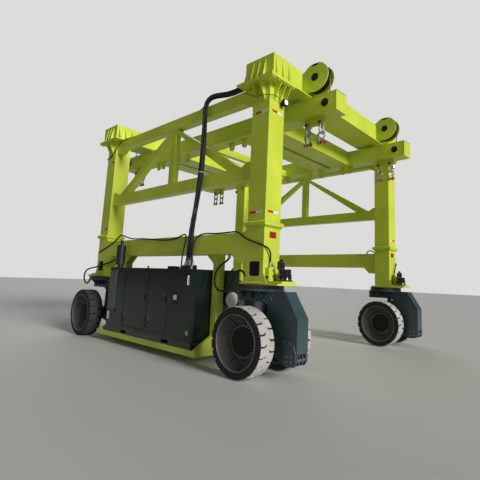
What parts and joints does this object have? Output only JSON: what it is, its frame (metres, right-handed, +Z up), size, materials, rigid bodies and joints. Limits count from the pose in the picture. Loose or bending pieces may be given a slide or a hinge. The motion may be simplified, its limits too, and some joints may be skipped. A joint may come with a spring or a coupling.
{
  "type": "straddle carrier",
  "caption": "Self-propelled straddle carrier with box legs on steered twin-wheel bogies, trussed sides, head beams, a rope-hung lifting frame and a side power pack.",
  "frame": {"origin": "on the ground, in the middle of the machine's bounding box", "axes": "+X to the front, -Y to the side with the power pack, +Z up"},
  "size_m": [8.224, 6.958, 6.3575],
  "materials": {
    "frame_paint": "satin",
    "sheave_iron": "satin",
    "wire_rope": "satin",
    "galvanised": "satin",
    "machined_steel": "satin",
    "motor_black": "satin",
    "lamp_housing": "matt",
    "hose_rubber": "matt",
    "pack_black": "satin",
    "canopy_paint": "gloss",
    "bogie_paint": "satin",
    "rim_paint": "matt",
    "tyre": "matt"
  },
  "bodies": {
    "chassis": {"leg_front_near": "frame_paint", "leg_rear_near": "frame_paint", "leg_front_far": "frame_paint", "leg_rear_far": "frame_paint", "foot_front_near": "frame_paint", "foot_rear_near": "frame_paint", "foot_front_far": "frame_paint", "foot_rear_far": "frame_paint", "lower_beams": "frame_paint", "bottom_chords": "frame_paint", "top_chords": "frame_paint", "truss_posts": "frame_paint", "truss_diagonals": "frame_paint", "head_beam_front": "frame_paint", "head_beam_rear": "frame_paint", "sheave_blocks_front": "frame_paint", "sheave_blocks_rear": "frame_paint", "pack_tray": "frame_paint", "pack_hangers": "frame_paint", "hoist_ropes": "wire_rope", "slewing_rings": "machined_steel", "steering_motors": "motor_black", "work_lamps": "lamp_housing", "hose_bundle": "hose_rubber", "pack_skid": "pack_black", "pack_engine": "pack_black", "pack_exhaust": "pack_black", "pack_canopy": "canopy_paint", "oil_filter_tank": "canopy_paint"},
    "lift_frame": {"lift_beam_near": "frame_paint", "lift_beam_far": "frame_paint", "lift_cross_beams": "frame_paint", "shackles": "galvanised"},
    "sheave_pair_front": {"sheaves_front": "sheave_iron"},
    "sheave_pair_rear": {"sheaves_rear": "sheave_iron"},
    "pack_door_front": {"door_front": "canopy_paint"},
    "pack_door_rear": {"door_rear": "canopy_paint"},
    "bogie_front_near": {"yoke_front_near": "bogie_paint", "swing_arm_front_near": "bogie_paint"},
    "wheels_front_near": {"rims_front_near": "rim_paint", "tyres_front_near": "tyre"},
    "bogie_rear_near": {"yoke_rear_near": "bogie_paint", "swing_arm_rear_near": "bogie_paint"},
    "wheels_rear_near": {"rims_rear_near": "rim_paint", "tyres_rear_near": "tyre"},
    "bogie_front_far": {"yoke_front_far": "bogie_paint", "swing_arm_front_far": "bogie_paint"},
    "wheels_front_far": {"rims_front_far": "rim_paint", "tyres_front_far": "tyre"},
    "bogie_rear_far": {"yoke_rear_far": "bogie_paint", "swing_arm_rear_far": "bogie_paint"},
    "wheels_rear_far": {"rims_rear_far": "rim_paint", "tyres_rear_far": "tyre"}
  },
  "joints": [
    {"name": "lift_travel", "type": "slide", "parent": "chassis", "child": "lift_frame", "axis": [0, 0, 1], "range_m": [-2.5, 0], "deforming": ["hoist_ropes"]},
    {"name": "sheaves_front_turn", "type": "hinge", "parent": "chassis", "child": "sheave_pair_front", "pos_m": [3.53, 0, 6.035], "axis": [0, 1, 0], "range_deg": [-5, 479]},
    {"name": "sheaves_rear_turn", "type": "hinge", "parent": "chassis", "child": "sheave_pair_rear", "pos_m": [-3.53, 0, 6.035], "axis": [0, 1, 0], "range_deg": [-479, 5]},
    {"name": "steer_front_near", "type": "hinge", "parent": "chassis", "child": "bogie_front_near", "pos_m": [3.013, -2.759, 1.5], "axis": [0, 0, 1], "range_deg": [-90, 90]},
    {"name": "steer_rear_near", "type": "hinge", "parent": "chassis", "child": "bogie_rear_near", "pos_m": [-3.013, -2.759, 1.5], "axis": [0, 0, 1], "range_deg": [-90, 90]},
    {"name": "steer_front_far", "type": "hinge", "parent": "chassis", "child": "bogie_front_far", "pos_m": [3.013, 2.759, 1.5], "axis": [0, 0, 1], "range_deg": [-90, 90]},
    {"name": "steer_rear_far", "type": "hinge", "parent": "chassis", "child": "bogie_rear_far", "pos_m": [-3.013, 2.759, 1.5], "axis": [0, 0, 1], "range_deg": [-90, 90]},
    {"name": "roll_front_near", "type": "hinge", "parent": "bogie_front_near", "child": "wheels_front_near", "pos_m": [3.088, -2.759, 0.61], "axis": [0, 1, 0], "continuous": true},
    {"name": "roll_rear_near", "type": "hinge", "parent": "bogie_rear_near", "child": "wheels_rear_near", "pos_m": [-2.938, -2.759, 0.61], "axis": [0, 1, 0], "continuous": true},
    {"name": "roll_front_far", "type": "hinge", "parent": "bogie_front_far", "child": "wheels_front_far", "pos_m": [3.088, 2.759, 0.61], "axis": [0, 1, 0], "continuous": true},
    {"name": "roll_rear_far", "type": "hinge", "parent": "bogie_rear_far", "child": "wheels_rear_far", "pos_m": [-2.938, 2.759, 0.61], "axis": [0, 1, 0], "continuous": true},
    {"name": "door_rear_swing", "type": "hinge", "parent": "chassis", "child": "pack_door_rear", "pos_m": [-0.95, -3.333, 1.1], "axis": [0, 0, 1], "range_deg": [-90, 0]},
    {"name": "door_front_swing", "type": "hinge", "parent": "chassis", "child": "pack_door_front", "pos_m": [0.06, -3.333, 1.1], "axis": [0, 0, 1], "range_deg": [-90, 0]}
  ],
  "couplings": [
    {"joint": "sheaves_front_turn", "follows": "lift_travel", "rad_per_m": -3.3333},
    {"joint": "sheaves_rear_turn", "follows": "lift_travel", "rad_per_m": 3.3333}
  ]
}
